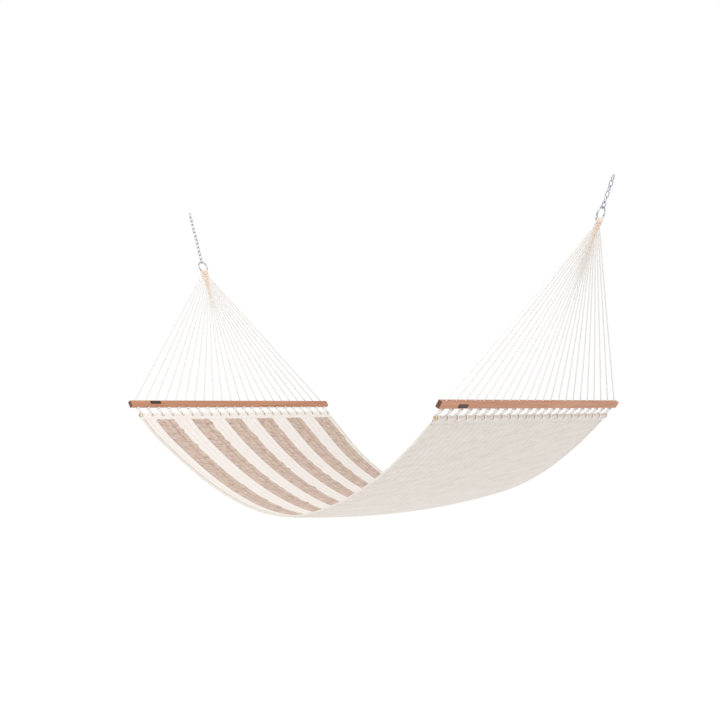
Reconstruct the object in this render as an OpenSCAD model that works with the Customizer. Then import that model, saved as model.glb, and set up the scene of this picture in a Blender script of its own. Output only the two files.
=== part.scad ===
/* [Spreader bars] */
// Length of each wooden spreader bar
bar_len = 1397; // [1200:1:1420]
// Width of a bar, across its cord holes
bar_w = 19; // [17:0.5:24]
// Depth of a bar, along its cord holes
bar_d = 32; // [28:0.5:38]
// Rounding along the four long edges of a bar
bar_round = 2.5; // [1:0.5:4]
// Distance between the two bars as the hammock hangs
bar_span = 1808; // [1780:1:1830]
// Lean of the cord holes away from upright, out from the bed
bar_lean = 33; // [25:1:40]
// Diameter of the cord holes
hole_d = 9; // [8:0.5:10]

/* [Clew ropes] */
// Number of cords in each clew, an even number
cords = 22; // [16:2:22]
// Diameter of the rope
cord_d = 6; // [5:0.5:6]
// Distance from the head bar to the centre of its ring
head_clew_len = 785; // [700:1:860]
// Distance from the foot bar to the centre of its ring
foot_clew_len = 828; // [700:1:860]
// Lean of the head clew away from upright, out from the bed
head_clew_lean = 20; // [10:0.5:40]
// Lean of the foot clew away from upright, out from the bed
foot_clew_lean = 21.5; // [10:0.5:40]
// Length of the woven stretch under each ring
weave_len = 200; // [160:5:240]
// Width of the woven stretch at the ring
weave_w = 50; // [40:1:54]
// Thickness of the woven stretch
weave_t = 13; // [11:0.5:16]

/* [Rings and chains] */
// Wire thickness of the steel rings
ring_wire = 7; // [6:0.5:8]
// Inside diameter of the steel rings
ring_in = 50; // [48:1:56]
// Wire thickness of the chain links
link_wire = 4.5; // [4:0.1:5]
// Inside length of a chain link
link_in_len = 23; // [22:0.5:26]
// Inside width of a chain link
link_in_w = 10; // [9.5:0.1:11]
// Number of links at the head end
head_links = 13; // [9:2:19]
// Number of links at the foot end
foot_links = 6; // [4:1:11]

/* [Quilted bed] */
// Width of the quilted bed beyond the outermost cord on each side
bed_edge = 10.5; // [8:0.5:14]
// Thickness of the quilt
bed_t = 10; // [8:0.5:14]
// Thickness of each fabric panel of the quilt
panel_t = 0.8; // [0.6:0.1:1.2]
// Drop from the hem dowels to the lowest point of a straight-hung bed
sag = 420; // [300:5:520]
// Share by which the sag leans towards the foot end
sag_skew = 0.12; // [0:0.01:0.3]
// Diameter of the wooden dowel in each end hem
dowel_d = 16; // [14:0.5:18]
// Distance that a hem dowel stands in from its bar
hem_in = 38; // [34:1:44]
// Distance that a hem dowel hangs below the middle of its bar
hem_drop = 52; // [48:1:60]
// Width of the flat hem between a dowel and the quilt
hem_flat = 34; // [30:1:40]

/* [Badges] */
// Length of the plain badge on each bar
badge_len = 64; // [50:1:80]
// Height of the plain badge
badge_h = 17; // [12:1:20]
// Thickness of the plain badge
badge_t = 1.2; // [0.8:0.1:2]

/* [Hidden] */
$fn = 48;
head = -1;
foot = 1;
// Running gap between two links, and between rope and ring
gap = 0.25;
cord_r = cord_d / 2;
end_margin = 37;
pitch = (bar_len - 2 * end_margin) / (cords - 1);
// Chain geometry, measured along the clew line from the ring's centre
ring_r = (ring_in + ring_wire) / 2;
bow_r = (link_in_w + link_wire) / 2;
link_pitch = link_in_len - gap;
first_link = ring_r - ring_wire / 2 - gap + link_in_len / 2;
// The hook bears on the inner top of the last link
head_hook = first_link + (head_links - 1) * link_pitch + link_in_len / 2;
// Rope wrapped on the ring
wrap_bore = ring_wire / 2 + 0.4;
wrap_r = wrap_bore + cord_d - 0.4;
wrap_angle = 52;
weave_top = ring_r + 4;
tip_w = 9;
first_cord = 48;
// Where a cord turns into its hole, and its stopper knot below
bend_r = cord_r + 0.3;
bend_up = bar_d / 2 + bend_r + 0.8;
knot_r = 6.5;
knot_down = bar_d / 2 + knot_r + 0.4;
// Loop of cord round the hem dowel
dowel_r = dowel_d / 2;
sleeve_gap = 0.3;
sleeve_t = 1.6;
loop_r = dowel_r + 0.4 + cord_r;
slot_w = cord_d + 5;
bed_w = (cords - 1) * pitch + 2 * bed_edge;
dowel_len = bed_w - 8;
tape_w = 14;
tape_fold = 1.2;
tape_t = 0.8;
seam_gap = 0.05;
quilt_w = bed_w - 2 * tape_fold;
badge_in = 150;
steps = 56;

// Half the distance between the hem dowels
half_bed = bar_span / 2 - hem_in;
head_anchor = [
    -bar_span / 2 - (head_clew_len + head_hook) * sin(head_clew_lean),
    (head_clew_len + head_hook) * cos(head_clew_lean)
];

// Height of the hanging bed's middle surface at share t of the way from head to foot
function bed_x(t) = half_bed * (2 * t - 1);
function bed_z(t) = -hem_drop - 4 * sag * t * (1 - t) * (1 + sag_skew * (t - 0.5));
function bed_at(t) = [bed_x(t), bed_z(t)];
function unit(v) = v / norm(v);
function bed_along(t) = unit(bed_at(t + 0.001) - bed_at(t - 0.001));
function bed_up(t) = [-bed_along(t)[1], bed_along(t)[0]];
// Outline of a strip of the bed from share a to b, between two heights off its middle surface
function strip(a, b, low, high, n) = concat(
    [for (i = [0 : n]) let (t = a + (b - a) * i / n) bed_at(t) + high * bed_up(t)],
    [for (i = [n : -1 : 0]) let (t = a + (b - a) * i / n) bed_at(t) + low * bed_up(t)]
);
// Shares of the bed at which the flat hems end and the quilt starts
bed_slope = norm(bed_at(0.02) - bed_at(0)) / 0.02;
hem_share = hem_flat / bed_slope;
quilt_share = (hem_flat + seam_gap) / bed_slope;
quilt_half = bed_t / 2;
core_half = bed_t / 2 - panel_t;

function clew_len(side) = side == head ? head_clew_len : foot_clew_len;
function clew_lean(side) = side == head ? head_clew_lean : foot_clew_lean;
function hole_y(k) = (k - (cords - 1) / 2) * pitch;
// Rank of a cord from the outside of its clew, 0 for the two outermost
function rank(k) = min(k, cords - 1 - k);
// Distance from the ring at which a cord leaves the weave
function leave(k) = first_cord + rank(k) * (weave_len - 12 - first_cord) / (cords / 2 - 1);
function weave_half(d) = (weave_w + (tip_w - weave_w) * (d - weave_top) / (weave_len - weave_top)) / 2;

module home() {
    translate([-head_anchor[0], 0, -head_anchor[1]]) children();
}

// Frame of a bar: Z up along its holes, X across it, Y along it
module at_bar(side) {
    home() translate([side * bar_span / 2, 0, 0]) rotate([0, side * bar_lean, 0]) children();
}

// Frame of a ring: Z up along the clew, Y along the bar
module at_ring(side) {
    home()
        translate([side * bar_span / 2, 0, 0])
        rotate([0, side * clew_lean(side), 0])
        translate([0, 0, clew_len(side)])
        children();
}

// Frame of a hem dowel: X inwards along the bed, Z up off the bed
module at_dowel(side) {
    t = side == head ? 0 : 1;
    along = bed_along(t);
    home()
        translate([bed_x(t), 0, bed_z(t)])
        rotate([0, -atan2(along[1], along[0]), 0])
        children();
}

module rod(a, b, d) {
    v = b - a;
    translate(a)
        rotate([0, acos(v[2] / norm(v)), atan2(v[1], v[0])])
        cylinder(h = norm(v), d = d);
}

module bed_strip(a, b, low, high, w, n) {
    home() rotate([90, 0, 0]) linear_extrude(height = w, center = true) polygon(strip(a, b, low, high, n));
}

module spreader_bar(side) {
    color("peru") at_bar(side) difference() {
        rotate([90, 0, 0]) linear_extrude(height = bar_len, center = true) bar_section();
        for (k = [0 : cords - 1])
            translate([0, hole_y(k), 0]) cylinder(h = bar_d + 2, d = hole_d, center = true);
    }
}

module bar_section() {
    square([bar_w - 2 * bar_round, bar_d], center = true);
    square([bar_w, bar_d - 2 * bar_round], center = true);
    for (x = [-1, 1], y = [-1, 1])
        translate([x * (bar_w / 2 - bar_round), y * (bar_d / 2 - bar_round)]) circle(r = bar_round);
}

// The badge sits high on the head bar's inner face and low on the foot bar's outer face
module badge(side) {
    color("saddlebrown")
        at_bar(side)
        translate([bar_w / 2 + badge_t / 2, badge_in - bar_len / 2, -side * (bar_d - badge_h) / 2 + side * 4])
        cube([badge_t, badge_len, badge_h], center = true);
}

module ring(side) {
    color("silver")
        at_ring(side)
        rotate([0, 90, 0])
        rotate_extrude()
        translate([ring_r, 0])
        circle(d = ring_wire);
}

// A closed loop of round wire or cord, long along Z and flat in XZ
module stadium(straight, r, d) {
    for (x = [-1, 1]) translate([x * r, 0, 0]) cylinder(h = straight, d = d, center = true);
    for (z = [-1, 1])
        translate([0, 0, z * straight / 2])
            rotate([z * 90, 0, 0])
            rotate_extrude(angle = 180)
            translate([r, 0])
            circle(d = d);
}

// Links count from the ring; odd ones stand across the ring and even ones lie in its plane
module chain_link(side, i) {
    color("lightsteelblue")
        at_ring(side)
        translate([0, 0, first_link + (i - 1) * link_pitch])
        rotate([0, 0, i % 2 == 1 ? 0 : 90])
        stadium(link_in_len - link_in_w, bow_r, link_wire);
}

module clew_weave(side) {
    color("linen") at_ring(side) difference() {
        union() {
            rotate([90, 0, 90])
                linear_extrude(height = weave_t, center = true)
                polygon([
                    [-weave_w / 2, -weave_top + 12],
                    [weave_w / 2, -weave_top + 12],
                    [weave_half(weave_top + 8), -weave_top - 8],
                    [tip_w / 2, -weave_len],
                    [-tip_w / 2, -weave_len],
                    [-weave_half(weave_top + 8), -weave_top - 8]
                ]);
            rotate([0, 90, 0])
                rotate([0, 0, -wrap_angle])
                rotate_extrude(angle = 2 * wrap_angle)
                translate([ring_r, 0])
                circle(r = wrap_r);
        }
        rotate([0, 90, 0]) rotate_extrude() translate([ring_r, 0]) circle(r = wrap_bore);
        rotate([0, 90, 0]) cylinder(h = weave_t + 2, r = ring_r - wrap_r, center = true);
    }
}

// One cord runs from the weave to its hole, and through the hole into its knot
module clew_cord(side, k) {
    lean = clew_lean(side) - bar_lean;
    up = clew_len(side) - leave(k);
    y_sign = k < cords / 2 ? -1 : 1;
    start = [
        side * up * sin(lean),
        y_sign * (weave_half(leave(k)) - cord_r - 1),
        up * cos(lean)
    ];
    bend = [0, hole_y(k), bend_up];
    rod(start, bend, cord_d);
    translate(bend) sphere(r = bend_r);
    rod(bend, [0, hole_y(k), -knot_down], cord_d);
}

module clew_cords(side) {
    color("linen") at_bar(side) for (k = [0 : cords - 1]) clew_cord(side, k);
}

module lashing_knots(side) {
    color("linen") at_bar(side) for (k = [0 : cords - 1])
        translate([0, hole_y(k), -knot_down]) sphere(r = knot_r);
}

// A loop of cord from each knot down round the hem dowel
module lashing_loops(side) {
    knot = [side * (bar_span / 2 - knot_down * sin(bar_lean)), -knot_down * cos(bar_lean)];
    dowel = [side * half_bed, -hem_drop];
    reach = norm(dowel - knot);
    straight = round(5 * (reach - loop_r)) / 5;
    middle = dowel + (knot - dowel) / reach * straight / 2;
    lean = atan2(knot[0] - dowel[0], knot[1] - dowel[1]);
    color("linen") home() for (k = [0 : cords - 1])
        translate([middle[0], hole_y(k), middle[1]]) rotate([0, lean, 0]) stadium(straight, loop_r, cord_d);
}

module hem_dowel(side) {
    color("burlywood") at_dowel(side) rotate([90, 0, 0]) cylinder(h = dowel_len, d = dowel_d, center = true);
}

module end_hem(side) {
    inner = dowel_r + sleeve_gap;
    span = side == head ? [0, hem_share] : [1 - hem_share, 1];
    color("antiquewhite") difference() {
        union() {
            at_dowel(side) rotate([90, 0, 0]) cylinder(h = bed_w, r = inner + sleeve_t, center = true);
            bed_strip(span[0], span[1], -1.6, 1.6, bed_w, 3);
        }
        at_dowel(side) rotate([90, 0, 0]) cylinder(h = bed_w + 2, r = inner, center = true);
        at_dowel(side) for (k = [0 : cords - 1])
            translate([0, hole_y(k), 0])
                cube([2 * (loop_r + cord_r + 1), slot_w, 40], center = true);
    }
}

module bed_top_panel() {
    color("wheat") bed_strip(quilt_share, 1 - quilt_share, core_half, quilt_half, quilt_w, steps);
}

module bed_batting() {
    color("white") bed_strip(quilt_share, 1 - quilt_share, -core_half, core_half, quilt_w, steps);
}

module bed_bottom_panel() {
    color("linen") bed_strip(quilt_share, 1 - quilt_share, -quilt_half, -core_half, quilt_w, steps);
}

// A folded tape that wraps one long edge of the quilt: a fold outside the edge and a leg on each face
module side_binding(y_side) {
    a = quilt_share;
    b = 1 - quilt_share;
    outer = quilt_half + tape_t;
    color("ivory") {
        translate([0, y_side * (bed_w - tape_fold) / 2, 0]) bed_strip(a, b, -outer, outer, tape_fold, steps);
        translate([0, y_side * (bed_w - tape_w) / 2, 0]) {
            bed_strip(a, b, quilt_half, outer, tape_w, steps);
            bed_strip(a, b, -outer, -quilt_half, tape_w, steps);
        }
    }
}

bed_top_panel();
bed_batting();
bed_bottom_panel();
side_binding(-1);  // near_side_binding
side_binding(1);  // far_side_binding
end_hem(head);  // head_hem
end_hem(foot);  // foot_hem
hem_dowel(head);  // head_dowel
hem_dowel(foot);  // foot_dowel
spreader_bar(head);  // head_bar
spreader_bar(foot);  // foot_bar
badge(head);  // head_badge
badge(foot);  // foot_badge
clew_cords(head);  // head_clew_cords
clew_cords(foot);  // foot_clew_cords
clew_weave(head);  // head_clew_weave
clew_weave(foot);  // foot_clew_weave
lashing_knots(head);  // head_lashing_knots
lashing_knots(foot);  // foot_lashing_knots
lashing_loops(head);  // head_lashing_loops
lashing_loops(foot);  // foot_lashing_loops
ring(head);  // head_ring
ring(foot);  // foot_ring
for (i = [1 : head_links]) chain_link(head, i);
for (i = [1 : foot_links]) chain_link(foot, i);
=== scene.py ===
import math

import bmesh
import bpy
import numpy as np
from mathutils import Matrix, Vector


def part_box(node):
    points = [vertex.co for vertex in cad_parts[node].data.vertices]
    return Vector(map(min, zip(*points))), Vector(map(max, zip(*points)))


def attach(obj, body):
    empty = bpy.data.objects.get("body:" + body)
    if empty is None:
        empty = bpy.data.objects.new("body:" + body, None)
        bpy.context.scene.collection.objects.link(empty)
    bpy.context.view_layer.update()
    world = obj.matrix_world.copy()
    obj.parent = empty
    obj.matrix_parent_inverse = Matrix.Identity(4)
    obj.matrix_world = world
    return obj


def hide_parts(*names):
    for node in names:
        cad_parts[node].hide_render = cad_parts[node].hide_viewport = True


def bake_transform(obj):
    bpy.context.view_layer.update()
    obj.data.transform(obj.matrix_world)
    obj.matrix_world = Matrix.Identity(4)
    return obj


# Quilted double hammock: a striped quilt hung between two spreader bars, on rope clews, rings and chains.
# Everything is in metres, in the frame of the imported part: X from head to foot, Y along the bars, Z up.

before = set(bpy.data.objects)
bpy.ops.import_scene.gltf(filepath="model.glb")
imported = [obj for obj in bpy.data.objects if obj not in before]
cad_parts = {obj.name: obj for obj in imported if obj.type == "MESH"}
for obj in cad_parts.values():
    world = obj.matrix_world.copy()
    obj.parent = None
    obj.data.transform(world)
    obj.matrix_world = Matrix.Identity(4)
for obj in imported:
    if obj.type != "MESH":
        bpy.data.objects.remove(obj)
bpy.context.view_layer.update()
mm = 0.001


def centreOf(node):
    low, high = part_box(node)
    return (low + high) / 2


def newObject(name, data):
    made = bpy.data.objects.new(name, data)
    bpy.context.scene.collection.objects.link(made)
    return made


barLow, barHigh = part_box("head_bar")
barLength = barHigh.y - barLow.y
middle = (centreOf("head_bar") + centreOf("foot_bar")) / 2
alongBars = Vector((0, 1, 0))

# ---- camera, first of all ----
camera = {"place": (3.421, -4.149, 0.001), "turn": 40.05, "tilt": 2.2, "lens": 57.1, "far": 200}
lens = bpy.data.cameras.new("camera")
lens.lens, lens.clip_end = camera["lens"], camera["far"]
eye = newObject("camera", lens)
eye.location = middle + Vector(camera["place"])
eye.rotation_euler = (math.radians(90 + camera["tilt"]), 0, math.radians(camera["turn"]))
bpy.context.scene.camera = eye
print("camera is at", tuple(round(x, 3) for x in eye.location))

# ---- what the materials share ----


def colour(text):
    # sRGB hex to the linear colour that sockets take
    parts = [int(text[i : i + 2], 16) / 255 for i in (1, 3, 5)]
    return (*[p / 12.92 if p <= 0.04045 else ((p + 0.055) / 1.055) ** 2.4 for p in parts], 1)


def addNode(tree, kind, values=None, links=None, **options):
    node = tree.nodes.new(kind)
    for name, value in options.items():
        setattr(node, name, value)
    for socket, value in (values or {}).items():
        node.inputs[socket].default_value = value
    for socket, source in (links or {}).items():
        tree.links.new(source, node.inputs[socket])
    return node


def feed(tree, node, terms):
    # each term is another node's output, a colour in hex, or a plain value
    for socket, term in terms.items():
        if isinstance(term, bpy.types.NodeSocket):
            tree.links.new(term, node.inputs[socket])
        else:
            node.inputs[socket].default_value = colour(term) if isinstance(term, str) else term
    return node


def newMaterial(name, **shaderValues):
    made = bpy.data.materials.new(name)
    made.use_nodes = True
    tree = made.node_tree
    shader = tree.nodes["Principled BSDF"]
    for socket, value in shaderValues.items():
        shader.inputs[socket.replace("_", " ")].default_value = value
    return made, tree, shader


def perMetre(sizeInMm):
    # texture scale that makes one cell this many millimetres
    return 1000 / sizeInMm


def calc(tree, operation, *terms):
    return feed(tree, addNode(tree, "ShaderNodeMath", operation=operation), dict(enumerate(terms))).outputs[0]


def objectPlace(tree):
    return addNode(tree, "ShaderNodeTexCoord").outputs["Object"]


def placed(tree, where, **changes):
    changes = {name.capitalize(): value for name, value in changes.items()}
    return addNode(tree, "ShaderNodeMapping", changes, {"Vector": where}).outputs[0]


def noise(tree, where, size, detail, distortion=0.0):
    values = {"Scale": perMetre(size), "Detail": detail, "Distortion": distortion}
    return addNode(tree, "ShaderNodeTexNoise", values, {"Vector": where}).outputs["Fac"]


def remap(tree, value, low=0.0, high=1.0, to=(0.0, 1.0), **options):
    values = {"From Min": low, "From Max": high, "To Min": to[0], "To Max": to[1]}
    return addNode(tree, "ShaderNodeMapRange", values, {"Value": value}, **options).outputs[0]


def mixed(tree, share, first, second):
    node = addNode(tree, "ShaderNodeMix", data_type="RGBA")
    return feed(tree, node, {0: share, 6: first, 7: second}).outputs[2]


def between(tree, share, first, second):
    values, links = {"Factor": share}, {2: first, 3: second}
    return addNode(tree, "ShaderNodeMix", values, links, data_type="FLOAT").outputs[0]


def twoTone(tree, tone, first, firstAt, second, secondAt):
    ramp = addNode(tree, "ShaderNodeValToRGB", links={"Fac": tone})
    for stop, place, shade in zip(ramp.color_ramp.elements, (firstAt, secondAt), (first, second)):
        stop.position, stop.color = place, colour(shade)
    return ramp.outputs["Color"]


def relief(tree, height, strength, depth, under=None, **options):
    # depth is in millimetres
    node = addNode(
        tree, "ShaderNodeBump", {"Strength": strength, "Distance": depth * mm}, {"Height": height}, **options
    )
    if under:
        tree.links.new(under, node.inputs["Normal"])
    return node.outputs[0]


def finish(tree, shader, **results):
    for socket, source in results.items():
        tree.links.new(source, shader.inputs[socket.replace("_", " ")])


# ---- timber of the bars: oiled hardwood, planed and rounded over ----
# Straight brown grain with darker growth lines and short pores, a satin gloss, and dark end grain.
timber = {
    "pale": "#D79B76", "deep": "#94583B", "line": "#4C2618",
    "pith": (0.05, -0.09), "ring": 2.6, "wander": 0.022, "pore": 2.1, "fibre": 6,
}


def barTimber(name, lean, place):
    made, tree, shader = newMaterial(name, Roughness=0.46, Coat_Weight=0.18, Coat_Roughness=0.3)
    square = placed(tree, placed(tree, objectPlace(tree), location=tuple(-place)), rotation=(0, -lean, 0))
    drift = noise(tree, placed(tree, square, scale=(1, 0.09, 1)), 60, 3)
    split = addNode(tree, "ShaderNodeSeparateXYZ", links={0: square}).outputs
    pithX, pithZ = timber["pith"]
    cross = addNode(tree, "ShaderNodeCombineXYZ", links={
        "X": calc(tree, "ADD", split["X"], -pithX), "Z": calc(tree, "ADD", split["Z"], -pithZ),
    }).outputs[0]
    away = addNode(tree, "ShaderNodeVectorMath", links={0: cross}, operation="LENGTH").outputs["Value"]
    reach = calc(tree, "ADD", away, calc(tree, "MULTIPLY", drift, timber["wander"]))
    rings = calc(tree, "SINE", calc(tree, "MULTIPLY", reach, 2 * math.pi * perMetre(timber["ring"])))
    ringShade = remap(tree, rings, -0.2, 1.0, interpolation_type="SMOOTHSTEP")
    fibre = noise(tree, placed(tree, square, scale=(1, 0.03, 1)), timber["fibre"], 6)
    tone = between(tree, 0.6, ringShade, fibre)
    wood = twoTone(tree, tone, timber["pale"], 0.2, timber["deep"], 0.85)
    short = placed(tree, square, scale=(1, 0.07, 1))
    pores = addNode(tree, "ShaderNodeTexVoronoi", {"Scale": perMetre(timber["pore"])}, {"Vector": short})
    poreMask = remap(tree, pores.outputs["Distance"], 0.1, 0.25, (0.5, 0))
    wood = mixed(tree, poreMask, wood, timber["line"])
    # end grain drinks the oil and goes dark
    normal = addNode(tree, "ShaderNodeNewGeometry").outputs["Normal"]
    facing = addNode(tree, "ShaderNodeSeparateXYZ", links={0: normal}).outputs["Y"]
    ends = remap(tree, calc(tree, "ABSOLUTE", facing), 0.75, 0.95, (0, 0.85))
    wood = mixed(tree, ends, wood, timber["line"])
    dents = relief(tree, poreMask, 0.4, 0.2, relief(tree, tone, 0.35, 0.3), invert=True)
    finish(tree, shader, Base_Color=wood, Normal=dents, Roughness=remap(tree, fibre, to=(0.38, 0.58)))
    return made


# ---- birch dowel: pale turned wood, unfinished ----
# Long fine fibres in two close straw colours, quite matt.
def dowelTimber():
    made, tree, shader = newMaterial("birchDowel", Roughness=0.7)
    fibre = noise(tree, placed(tree, objectPlace(tree), scale=(1, 0.03, 1)), 2, 5)
    wood = twoTone(tree, fibre, "#E2C79C", 0.35, "#C39B66", 0.7)
    finish(tree, shader, Base_Color=wood, Normal=relief(tree, fibre, 0.3, 0.2))
    return made


# ---- zinc-plated steel: bright drawn wire, welded, tumbled and plated ----
# Grey metal with soft cloudy gloss, faint draw marks, and duller patches.
zinc = {"bright": "#D9DDE3", "dull": "#A9AEB6", "cloud": 9, "draw": 0.6}


def zincSteel():
    made, tree, shader = newMaterial("zincPlatedSteel", Metallic=1.0)
    where = objectPlace(tree)
    cloud = noise(tree, where, zinc["cloud"], 4)
    finish(
        tree, shader, Base_Color=twoTone(tree, cloud, zinc["dull"], 0.35, zinc["bright"], 0.65),
        Roughness=remap(tree, cloud, to=(0.4, 0.22)),
        Normal=relief(tree, noise(tree, where, zinc["draw"], 2), 0.12, 0.1),
    )
    return made


# ---- spun polyester rope: three laid strands of soft staple yarn ----
# Off-white and matt, with fine fibres along each strand and painted shade in the grooves between the strands.
# The weave under each ring gets a warmer copy of the rope colours, a painted warm tone of light and shade.
ropeLook = {
    "yarn": "#FFFCF8", "grooveShadeAndFleck": "#E4DAD0", "paintedWarmYarn": "#FFF3E8", "paintedWarmGrooveShadeAndFleck": "#E9CDB8",
    "fibre": 1.4, "girth": 0.019, "slant": 0.35,
}


def spunRope(name, yarnColour, grooveShadeAndFleckColour):
    made, tree, shader = newMaterial(name, Roughness=0.88, Sheen_Weight=0.2, Sheen_Roughness=0.5)
    along, around, lobe = [
        addNode(tree, "ShaderNodeAttribute", attribute_name=attribute).outputs["Fac"]
        for attribute in ("ropeAlong", "ropeAround", "ropeLobe")
    ]
    slant = calc(tree, "MULTIPLY", along, ropeLook["slant"])
    lay = calc(tree, "ADD", calc(tree, "MULTIPLY", around, ropeLook["girth"]), slant)
    spread = addNode(tree, "ShaderNodeCombineXYZ", links={"X": slant, "Y": lay}).outputs[0]
    fibre = noise(tree, placed(tree, spread, scale=(0.2, 1, 1)), ropeLook["fibre"], 3)
    # painted shade: the colour darkens in the grooves between the three strands
    base = mixed(tree, remap(tree, lobe, 0.35, -0.9, (0, 0.8)), yarnColour, grooveShadeAndFleckColour)
    base = mixed(tree, remap(tree, fibre, to=(0.12, 0)), base, grooveShadeAndFleckColour)
    finish(tree, shader, Base_Color=base, Normal=relief(tree, fibre, 0.5, 0.3))
    return made


# ---- woven cloths: solution-dyed yarn in a plain weave ----
# Matt and slightly heathered. The yarns are drawn 1.6 mm apart so that they show.
# fold is the colour of the painted shade laid in creases, along seams and in fold valleys
stripes = {
    "first": 78 * mm, "wide": 112 * mm, "last": 1310 * mm,
    "tan": "#E4D0C2", "tanDeep": "#C8AC9A", "fold": "#A0826F", "cream": "#FCF7F2", "creamDeep": "#EDE4DC",
    "scallop": 20 * mm, "scallopEvery": 42, "streak": 11, "yarn": 1.6,
}


def clothWeave(tree, spacing):
    # heights and tone of a plain weave, from the cloth's own UV map in metres
    uv = addNode(tree, "ShaderNodeUVMap", uv_map="cloth").outputs[0]
    warp = noise(tree, placed(tree, uv, scale=(1, 0.06, 1)), spacing * 1.6, 3)
    weft = noise(tree, placed(tree, uv, scale=(0.06, 1, 1)), spacing * 1.6, 3)
    heather = between(tree, 0.5, warp, weft)
    split = addNode(tree, "ShaderNodeSeparateXYZ", links={0: uv}).outputs
    over, under = [
        calc(tree, "SINE", calc(tree, "MULTIPLY", split[axis], math.pi * perMetre(spacing))) for axis in "XY"
    ]
    return uv, heather, calc(tree, "MULTIPLY", over, under), split["X"]


def gatherFolds(tree, uv, size, slant, stretch):
    # short slanted folds that gathered seams throw across the cloth
    turned = placed(tree, uv, rotation=(0, 0, math.radians(slant)))
    return noise(tree, placed(tree, turned, scale=(stretch, 1, 1)), size, 4, 0.7)


def finishCloth(tree, shader, base, heather, height, folds, depth):
    # creases and the weave in relief, and painted shade: the cloth's colour a little darker where it is
    # creased
    creaseShade = addNode(tree, "ShaderNodeAttribute", attribute_name="creaseShade").outputs["Fac"]
    soft = relief(tree, folds, 0.6, depth)
    weave = relief(tree, height, 0.3, 0.35, relief(tree, heather, 0.3, 0.5, soft))
    # painted shade: where the crease shade is high the colour goes towards the fold colour
    base = mixed(tree, remap(tree, creaseShade, to=(0, 0.7)), base, stripes["fold"])
    finish(tree, shader, Base_Color=base, Normal=weave)


def clothMaterial(name):
    return newMaterial(name, Roughness=0.92, Sheen_Weight=0.12, Sheen_Roughness=0.6)


def stripedCloth():
    made, tree, shader = clothMaterial("stripedWovenCloth")
    uv, heather, height, across = clothWeave(tree, stripes["yarn"])
    # the far border of a tan stripe wanders where the cloth is gathered on its seam
    pair = 2 * stripes["wide"]
    wavy = calc(tree, "SUBTRACT", noise(tree, uv, stripes["scallopEvery"], 1), 0.5)
    border = calc(tree, "ADD", calc(tree, "MULTIPLY", wavy, 2 * stripes["scallop"] / pair), 0.5)
    place = calc(tree, "MULTIPLY", calc(tree, "SUBTRACT", across, stripes["first"]), 1 / pair)
    inside = calc(tree, "SUBTRACT", border, calc(tree, "FRACT", place))
    tan = remap(tree, inside, -0.004, 0.004)
    tan = calc(tree, "MULTIPLY", tan, calc(tree, "GREATER_THAN", across, stripes["first"]))
    last = calc(tree, "LESS_THAN", across, stripes["last"] + stripes["wide"] / 2)
    tan = calc(tree, "MULTIPLY", tan, last)
    flecks = remap(tree, heather, 0.35, 0.68)
    tanYarn = mixed(tree, flecks, stripes["tan"], stripes["tanDeep"])
    creamYarn = mixed(tree, flecks, stripes["cream"], stripes["creamDeep"])
    folds = gatherFolds(tree, uv, stripes["streak"], -20, 0.26)
    # painted shade: the tan darkens towards the fold colour in the valleys of the folds
    tanYarn = mixed(tree, remap(tree, folds, 0.54, 0.36, (0, 0.6)), tanYarn, stripes["fold"])
    finishCloth(tree, shader, mixed(tree, tan, creamYarn, tanYarn), heather, height, folds, 3.5)
    return made


def plainCloth(name, pale, deep, yarn, fold, slant, depth):
    made, tree, shader = clothMaterial(name)
    uv, heather, height = clothWeave(tree, yarn)[:3]
    folds = gatherFolds(tree, uv, fold, slant, 0.2)
    mottle = calc(
        tree, "MULTIPLY", remap(tree, heather, 0.32, 0.7), remap(tree, folds, 0.4, 0.7, (0.35, 1))
    )
    finishCloth(tree, shader, mixed(tree, mottle, pale, deep), heather, height, folds, depth)
    return made


# ---- sewing thread: bonded polyester, smooth and a little shiny ----
# Cream plies that catch the light against the matt cloth.
def sewingThread():
    made, tree, shader = newMaterial("bondedThread", Roughness=0.55)
    ply = noise(tree, objectPlace(tree), 1.2, 2)
    thread = twoTone(tree, ply, "#D8CCBD", 0.3, "#F3EADF", 0.7)
    finish(tree, shader, Base_Color=thread, Normal=relief(tree, ply, 0.4, 0.2))
    return made


# ---- badge plate: dark anodised aluminium, brushed along its length ----
# Dark brown metal with fine hairlines that break up its highlight.
def badgeMetal():
    made, tree, shader = newMaterial("anodisedBadge", Metallic=0.55)
    brush = noise(tree, placed(tree, objectPlace(tree), scale=(1, 0.04, 1)), 0.8, 3)
    finish(
        tree, shader, Base_Color=twoTone(tree, brush, "#3E332E", 0.3, "#5B4C44", 0.7),
        Roughness=remap(tree, brush, to=(0.38, 0.55)), Normal=relief(tree, brush, 0.15, 0.1),
    )
    return made


finishes = {
    "zinc": zincSteel(), "dowel": dowelTimber(), "thread": sewingThread(), "badge": badgeMetal(),
    "rope": spunRope("spunPolyesterRope", ropeLook["yarn"], ropeLook["grooveShadeAndFleck"]),
    # a warmer copy of the rope for the weave: its warm tone is painted light and shade
    "paintedWarmRope": spunRope("paintedWarmPolyesterRope", ropeLook["paintedWarmYarn"], ropeLook["paintedWarmGrooveShadeAndFleck"]),
    "striped": stripedCloth(),
    "backing": plainCloth("oatmealBackingCloth", "#E7E1DA", "#CDC3B9", 1.6, 24, -14, 8),
    "hem": plainCloth("creamHemCloth", "#FAF5EF", "#EAE1D8", 1.4, 14, 80, 1.5),
    "tape": plainCloth("bindingTape", "#F1EAE1", "#D6CBBF", 1.1, 9, 5, 1.2),
}
print("materials are made:", len(finishes) + 2)


def paint(node, material):
    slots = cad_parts[node].data.materials
    slots.clear()
    slots.append(material)


def newMesh(name, points, faces, edges=()):
    mesh = bpy.data.meshes.new(name)
    mesh.from_pydata([tuple(p) for p in points], list(edges), list(faces))
    return newObject(name, mesh)


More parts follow.
